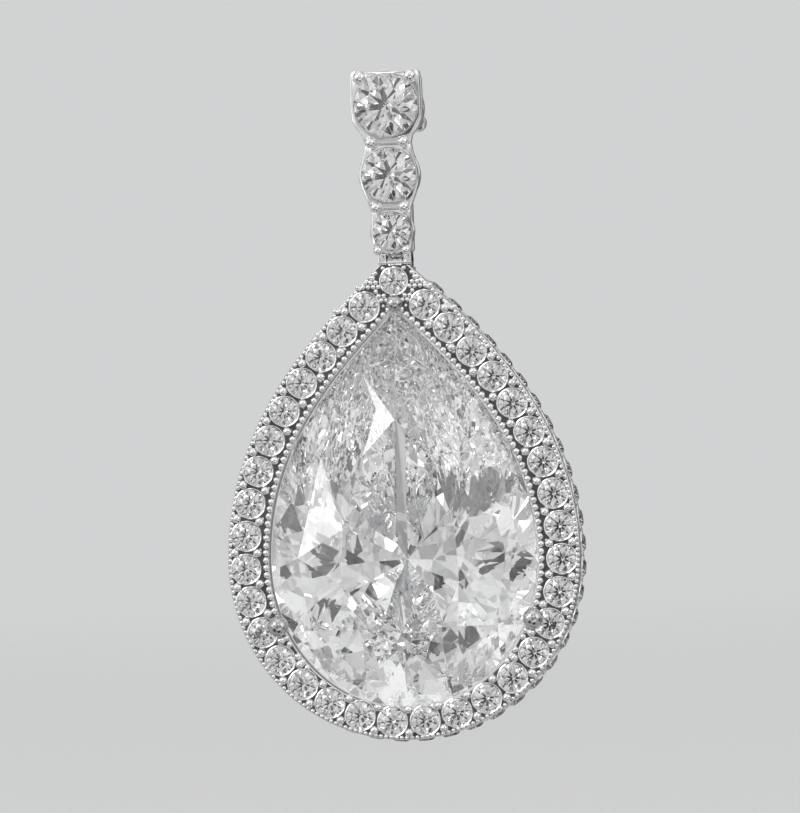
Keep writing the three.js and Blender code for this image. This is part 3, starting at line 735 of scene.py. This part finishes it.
def neck_beads(bm):
    """Tiny beads in even rows over the ground of the neck, wherever its stones leave room."""
    stones = [seat_of(node) for node in ["point_stone"] + RIGHT_SIDE[:2] + LEFT_SIDE[:2]]
    edge, inside = pear_half(grown(PLATE_EDGE, -0.16)), pear_half(grown(PLATE_INSIDE, 0.3))
    for row in range(NECK_ROWS):
        y = NECK_TOP - 0.13 - row * NECK_PITCH * ROW_SHARE
        for i in range(-NECK_ROWS, NECK_ROWS + 1):
            at = Vector(((i + row % 2 / 2) * NECK_PITCH, y))
            clear = all((at - middle.xy).length > radius + 0.16 for middle, radius in stones)
            if clear and half_width_at(inside, y) < abs(at.x) < half_width_at(edge, y):
                add_ball(bm, Vector((at.x, at.y, HALO_FACE - 0.05)), NECK_BEAD, 2)


def grain_beads():
    """Round beads that hold the halo's stones, a pair in each gap between two of them."""
    bm = bmesh.new()
    for run in (RIGHT_SIDE, LEFT_SIDE, [RIGHT_SIDE[-1], LEFT_SIDE[-1]]):
        middles = [seat_of(node)[0] for node in run]
        for a, b in zip(middles, middles[1:]):
            out = (b - a).normalized().cross(Vector((0, 0, 1)))
            for offset in (GRAIN_OFFSET, -GRAIN_OFFSET):
                at = (a + b) / 2 + out * offset
                add_ball(bm, Vector((at.x, at.y, HALO_FACE + 0.02)), GRAIN_BEAD)
    neck_beads(bm)
    piece("halo_beads", bm, "drop", SILVER_AND_PAINTED_SHADE, ["drop_setting"])


def edge_beads():
    """Rows of tiny beads on the halo's inner and outer edges, left out where a stone or the neck is."""
    stones = [seat_of(node)[0].xy for node in ALL_HALO]
    inner = bmesh.new()
    for outset, first, pitch, radius, room in INNER_ROWS:
        for at, _ in places_round(grown(MAIN_STONE, outset), first, pitch):
            if min((at.xy - stone).length for stone in stones) > room:
                add_ball(inner, Vector((at.x, at.y, HALO_FACE - 0.04)), radius, 2)
    piece("inner_edge_beads", inner, "drop", SILVER_AND_PAINTED_SHADE, ["drop_setting"])
    outer = bmesh.new()
    for at, _ in places_round(grown(PLATE_EDGE, -0.11), 1.2, 0.235):
        if at.y < NECK_TOP - 0.1:
            add_ball(outer, Vector((at.x, at.y, HALO_FACE - 0.07)), OUTER_BEAD, 2)
    piece("outer_edge_beads", outer, "drop", SILVER_AND_PAINTED_SHADE, ["drop_setting"])


MAIN_CLAW_WIRE = (0.31, 0.27)
POINT_TIP, SIDE_TIP = 0.38, 0.48


def main_claws():
    bm = bmesh.new()
    edge = pear_half(MAIN_STONE)
    at_side = CLAW_SHARE * length_of(edge)
    claws = [(Vector((0, WIDEST_Y + MAIN_STONE[2], 0)), Vector((0, 1, 0)), POINT_TIP)]
    claws += [(*place_along(edge, at_side, side), SIDE_TIP) for side in (1, -1)]
    for foot, out, tip in claws:
        stand = foot + out * 0.3
        end = Vector((stand.x, stand.y, MAIN_EDGE + 0.45))
        add_rod(bm, Vector((stand.x, stand.y, WALL_BACK)), end, *MAIN_CLAW_WIRE)
        add_ball(bm, end, tip, 4)
    # The claws wear the silver that is painted dark to stand in for their reflections.
    piece("main_claws", bm, "drop", [CLAW_PAINTED_DARK_SILVER], ["drop_setting"])


RAIL_HALF = 0.375  # half the thickness of the basket's rail
STRUT_WIRE = (0.36, 0.3)
STRUT_SHARES = (0.02, 0.33, CLAW_SHARE, 0.97)  # of the way down the side


def basket():
    """The open rail behind the main stone, on struts from the wall."""
    bm = bmesh.new()
    outer, inner = grown(BASKET_RAIL, RAIL_HALF), grown(BASKET_RAIL, -RAIL_HALF)
    add_ring(bm, outer, inner, BASKET_BACK + 2 * RAIL_HALF, BASKET_BACK, 0.2)
    wall, rail = pear_half(grown(WALL_EDGE, -RAIL_HALF)), pear_half(BASKET_RAIL)
    for share in STRUT_SHARES:
        for side in (1, -1):
            start, _ = place_along(wall, share * length_of(wall), side)
            end, _ = place_along(rail, share * length_of(rail), side)
            start.z, end.z = WALL_BACK + STRUT_WIRE[0], BASKET_BACK + RAIL_HALF
            add_rod(bm, start, end, *STRUT_WIRE)
    piece("basket", bm, "drop", SILVER_AND_PAINTED_SHADE, ["drop_setting"])


BAND_FRONT = PLATE_BACK - 0.03
BAND_GAP = 1.25  # half width of the gap that the band leaves at the neck
SIDE_PITCH = 1.1
SIDE_STONE = 0.5
SIDE_SEAT = 0.47
SIDE_RIM, SIDE_RIM_WIRE = 0.545, 0.055


def side_row():
    """The band round the halo's side: its stones face outwards, each in a cut seat with a thin rim."""
    height = (BAND_FRONT + WALL_BACK) / 2
    ring, gap = bmesh.new(), bmesh.new()
    add_ring(ring, BAND_OUTER, BAND_INNER, BAND_FRONT, WALL_BACK, 0.04)
    add_box(gap, Vector((-BAND_GAP, WIDEST_Y + MAIN_STONE[2], -4)), Vector((BAND_GAP, 0, 4)))
    tool, stones, rims = bmesh.new(), bmesh.new(), bmesh.new()
    for at, out in places_round(BAND_OUTER, BAND_GAP + SIDE_PITCH, SIDE_PITCH):
        middle = Vector((at.x, at.y, height))
        add_rod(tool, middle - out * 0.6, middle + out * 0.6, SIDE_SEAT, sides=20)
        place = Matrix.Translation(middle + out * 0.02) @ out.to_track_quat("Z", "Y").to_matrix().to_4x4()
        add_stone(stones, brilliant(SIDE_STONE), place)
        add_wire_ring(rims, place, SIDE_RIM, SIDE_RIM_WIRE, 24)
    band = carved(carved(ring, gap, BRIGHT), tool)
    append(band, rims)
    piece("side_band_metal", band, "drop", SILVER_AND_PAINTED_SHADE, ["side_band"])
    piece("side_band_stones", stones, "drop", [CLEAR_STONE], ["side_band"], 0)


# Corners of the main stone's table and crown on the right: shares of its half width, of its point or round
# height and, for the crown, of the crown's height.
MAIN_TABLE = [(0, 0.56), (0.25, 0.42), (0.42, 0.13), (0.44, -0.16), (0.3, -0.46), (0, -0.58)]
MAIN_KITES = [
    (0.14, 0.6, 0.845), (0.24, 0.74, 0.5), (0.58, 0.42, 0.56), (0.78, 0.02, 0.52),
    (0.7, -0.46, 0.52), (0.3, -0.8, 0.5), (0, -0.84, 0.48),
]
CROWN_HEIGHT = 1.85
MAIN_GIRDLE = 0.3
GIRDLE_CORNERS = 48
PAVILION_DEPTH = 4.9
PAVILION_SLOPE = 0.8  # 1 is straight; less grows steeper from the culet to the edge
# Rings of facets down the pavilion: share of the outline, corners.
MAIN_RINGS = [
    (0.9, 42), (0.8, 40), (0.7, 36), (0.6, 32), (0.5, 27), (0.4, 22), (0.3, 17), (0.2, 12), (0.1, 7),
]
UNEVEN = 0.35  # of a step, that a corner may stray round its ring
UNEVEN_SHARE = 0.04  # of that, that it may stray in size and depth
SHORT_OF_END = 0.99999


def main_stone():
    """A pear cut with many small facets behind, each ring a little uneven, so that it glitters like ice."""
    width, round_height, point_height = MAIN_STONE
    uneven = random.Random(11)
    corners = []
    for across, up, rise in [(*c, 1.0) for c in MAIN_TABLE] + MAIN_KITES:
        y = up * (point_height if up > 0 else round_height)
        for side in ((1, -1) if across else (1,)):
            corners.append(Vector((side * across * width, y, CROWN_HEIGHT * rise)))
    points = pear_half(MAIN_STONE)
    total = length_of(points)

    def ring(size, height, count, turn=0.0, wander=0.0):
        for i in range(count):
            share = 2 * ((i + turn + uneven.uniform(-wander, wander)) % count) / count
            along = min(share, 2 - share) * total * SHORT_OF_END
            at, _ = place_along(points, along, 1 if share <= 1 else -1)
            shrink = size * (1 + uneven.uniform(-wander, wander) * UNEVEN_SHARE)
            sink = height * (1 + uneven.uniform(-wander, wander) * UNEVEN_SHARE)
            corners.append(Vector((at.x * shrink, (at.y - WIDEST_Y) * shrink, sink)))

    ring(1, 0, GIRDLE_CORNERS)
    ring(1, -MAIN_GIRDLE, GIRDLE_CORNERS)
    for i, (size, count) in enumerate(MAIN_RINGS):
        depth = PAVILION_SLOPE * (1 - size) + (1 - PAVILION_SLOPE) * (1 - size * size)
        ring(size, -MAIN_GIRDLE - PAVILION_DEPTH * depth, count, i % 2 / 2, UNEVEN)
    corners.append(Vector((0, 0, -MAIN_GIRDLE - PAVILION_DEPTH)))
    bm = bmesh.new()
    add_stone(bm, corners, Matrix.Translation((0, WIDEST_Y, MAIN_EDGE)))
    piece("pear_stone_cut", bm, "drop", [MAIN_CLEAR_STONE], ["pear_stone"], 0)


# Studio

FRAME_HEIGHT = 0.0366  # of the picture, at the earring
CAMERA_AWAY = 0.26
CAMERA_AIM = Vector((0, -0.0015, -0.0135))
VIEW_AZIMUTH, VIEW_ELEVATION, VIEW_ROLL = 6.5, -1, -2
FLOOR_Z = -0.042
FLOOR_RADIUS = 1.6
FLOOR_FADE = (0.15, 1.3)  # from all there to gone
LAMP_AIM = Vector((0, 0, -0.014))


def camera():
    a, e = math.radians(VIEW_AZIMUTH), math.radians(VIEW_ELEVATION)
    back = Vector((math.sin(a) * math.cos(e), -math.cos(a) * math.cos(e), math.sin(e)))
    data = bpy.data.cameras.new("camera")
    data.lens = data.sensor_width * CAMERA_AWAY / FRAME_HEIGHT
    data.clip_start, data.clip_end = 0.01, 20
    obj = bpy.data.objects.new("camera", data)
    obj.rotation_mode = "QUATERNION"
    obj.location = CAMERA_AIM + back * CAMERA_AWAY
    roll = Quaternion((0, 0, 1), math.radians(VIEW_ROLL))
    obj.rotation_quaternion = (-back).to_track_quat("-Z", "Y") @ roll
    bpy.context.scene.collection.objects.link(obj)
    bpy.context.scene.camera = obj


def floor():
    """A pale round floor that fades out far from the earring. The stones and metal don't mirror it."""
    material = bpy.data.materials.new("pale_floor")
    material.use_nodes = True
    nodes, links = material.node_tree.nodes, material.node_tree.links
    shader = nodes["Principled BSDF"]
    shader.inputs["Base Color"].default_value = (0.79, 0.795, 0.8, 1)
    shader.inputs["Roughness"].default_value = 0.9
    coordinates = nodes.new("ShaderNodeTexCoord")
    away = nodes.new("ShaderNodeVectorMath")
    away.operation = "LENGTH"
    fade = nodes.new("ShaderNodeMapRange")
    fade.interpolation_type = "SMOOTHSTEP"
    fade.inputs["From Min"].default_value = FLOOR_FADE[0]
    fade.inputs["From Max"].default_value = FLOOR_FADE[1]
    fade.inputs["To Min"].default_value = 1
    fade.inputs["To Max"].default_value = 0
    links.new(coordinates.outputs["Object"], away.inputs[0])
    links.new(away.outputs["Value"], fade.inputs["Value"])
    links.new(fade.outputs["Result"], shader.inputs["Alpha"])
    bm = bmesh.new()
    place = Matrix.Translation((0, 0, FLOOR_Z))
    bmesh.ops.create_circle(bm, cap_ends=True, segments=96, radius=FLOOR_RADIUS, matrix=place)
    obj = object_from("floor", bm, [material])
    obj.visible_glossy = obj.visible_transmission = False


# What the stones and metal mirror: direction (as X, Y, Z), half angle in degrees, softness, brightness.
SOFT_BOXES = [
    ((-0.78, -0.55, 0.3), 18, 4, 1.15),
    ((-0.845, -0.5, 0.18), 5, 2, 4.6),
    ((0.7, -0.45, 0.55), 14, 5, 1.15),
    ((0.0, -0.35, 0.94), 18, 6, 1.3),
    ((0.35, -0.8, -0.5), 9, 4, 1.1),
]
DARK_CARDS = [
    ((0.05, -1.0, -0.04), 8, 3, 0.06),
    ((-0.25, -0.85, 0.55), 7, 2, 0.06),
    ((0.55, -0.83, 0.1), 8, 3, 0.06),
    ((-0.5, -0.6, -0.6), 14, 4, 0.08),
    ((0.95, -0.1, -0.25), 14, 5, 0.15),
    ((0.2, -0.5, -0.85), 14, 5, 0.08),
    ((0.15, 1.0, 0.05), 12, 8, 0.25),
    ((0.8, 0.6, 0.15), 10, 5, 0.12),
    ((-0.65, 0.7, -0.3), 12, 5, 0.12),
    ((-0.8, 0.35, 0.5), 10, 5, 0.12),
    ((0.3, 0.75, 0.6), 10, 5, 0.15),
    ((0.35, 0.7, -0.62), 10, 5, 0.12),
]
# Small lamps that share one half angle, softness and brightness.
SPARK = (2.5, 1.0, 4.5)
SPARKS = [
    (-0.3, -0.9, 0.3), (0.25, -0.9, 0.35), (0.5, -0.75, -0.4), (-0.6, -0.8, -0.05), (0.1, -0.8, -0.6),
    (-0.1, -0.65, 0.75), (0.75, -0.6, 0.2),
]
ROOM_TONES = (0.61, 0.97)  # below and above
PANEL_SCALE = 8
PANEL_SHARES = (0.6, 1.35)  # of the room's tone, in its darkest and brightest panels
PALE_BACKGROUND = (0.64, 0.645, 0.65, 1)


def world():
    """Pale to look at; stones and metal see a room of soft panels, bright boxes, dark cards and sparks."""
    made = bpy.data.worlds.new("studio")
    made.use_nodes = True
    bpy.context.scene.world = made
    nodes, links = made.node_tree.nodes, made.node_tree.links
    nodes.clear()
    coordinates = nodes.new("ShaderNodeTexCoord")
    parts = nodes.new("ShaderNodeSeparateXYZ")
    links.new(coordinates.outputs["Generated"], parts.inputs[0])
    slope = nodes.new("ShaderNodeMapRange")
    slope.inputs["From Min"].default_value = -1
    slope.inputs["To Min"].default_value = ROOM_TONES[0]
    slope.inputs["To Max"].default_value = ROOM_TONES[1]
    links.new(parts.outputs["Z"], slope.inputs["Value"])
    panels = nodes.new("ShaderNodeTexVoronoi")
    panels.inputs["Scale"].default_value = PANEL_SCALE
    links.new(coordinates.outputs["Generated"], panels.inputs["Vector"])
    shade = nodes.new("ShaderNodeSeparateXYZ")
    links.new(panels.outputs["Color"], shade.inputs[0])
    share = nodes.new("ShaderNodeMapRange")
    share.inputs["To Min"].default_value = PANEL_SHARES[0]
    share.inputs["To Max"].default_value = PANEL_SHARES[1]
    links.new(shade.outputs["X"], share.inputs["Value"])
    room = nodes.new("ShaderNodeMath")
    room.operation = "MULTIPLY"
    links.new(slope.outputs["Result"], room.inputs[0])
    links.new(share.outputs["Result"], room.inputs[1])
    tone = room.outputs["Value"]
    patches = SOFT_BOXES + DARK_CARDS + [(spark, *SPARK) for spark in SPARKS]
    for direction, half_angle, soft, brightness in patches:
        near = nodes.new("ShaderNodeVectorMath")
        near.operation = "DOT_PRODUCT"
        near.inputs[1].default_value = Vector(direction).normalized()
        links.new(coordinates.outputs["Generated"], near.inputs[0])
        inside = nodes.new("ShaderNodeMapRange")
        inside.interpolation_type = "SMOOTHSTEP"
        inside.inputs["From Min"].default_value = math.cos(math.radians(half_angle + soft))
        inside.inputs["From Max"].default_value = math.cos(math.radians(half_angle))
        links.new(near.outputs["Value"], inside.inputs["Value"])
        mix = nodes.new("ShaderNodeMix")
        mix.data_type = "FLOAT"
        mix.inputs["B"].default_value = brightness
        links.new(inside.outputs["Result"], mix.inputs["Factor"])
        links.new(tone, mix.inputs["A"])
        tone = mix.outputs["Result"]
    mirrored = nodes.new("ShaderNodeBackground")
    links.new(tone, mirrored.inputs["Strength"])
    plain = nodes.new("ShaderNodeBackground")
    plain.inputs["Color"].default_value = PALE_BACKGROUND
    path = nodes.new("ShaderNodeLightPath")
    choose = nodes.new("ShaderNodeMixShader")
    output = nodes.new("ShaderNodeOutputWorld")
    links.new(path.outputs["Is Camera Ray"], choose.inputs["Fac"])
    links.new(mirrored.outputs["Background"], choose.inputs[1])
    links.new(plain.outputs["Background"], choose.inputs[2])
    links.new(choose.outputs["Shader"], output.inputs["Surface"])


def lamp(name, place, size, power):
    data = bpy.data.lights.new(name, "AREA")
    data.size = size
    data.energy = power
    obj = bpy.data.objects.new(name, data)
    obj.location = place
    obj.rotation_mode = "QUATERNION"
    obj.rotation_quaternion = (LAMP_AIM - obj.location).to_track_quat("-Z", "Y")
    obj.visible_camera = obj.visible_transmission = False
    bpy.context.scene.collection.objects.link(obj)


def light():
    scene = bpy.context.scene
    scene.view_settings.view_transform = "Standard"
    scene.cycles.max_bounces = 36
    scene.cycles.glossy_bounces = 28
    scene.cycles.transmission_bounces = 16
    world()
    lamp("key_light", Vector((-0.35, -0.5, 0.35)), 0.25, 0.75)
    lamp("fill_light", Vector((0.45, -0.35, 0.15)), 0.35, 0.2)


stem_stones()
stem_metal()
stem_claws()
post_and_pin()
main_stone()
halo_stones()
halo_plate()
halo_wall()
seat_rims()
grain_beads()
edge_beads()
main_claws()
basket()
side_row()
camera()
floor()
light()
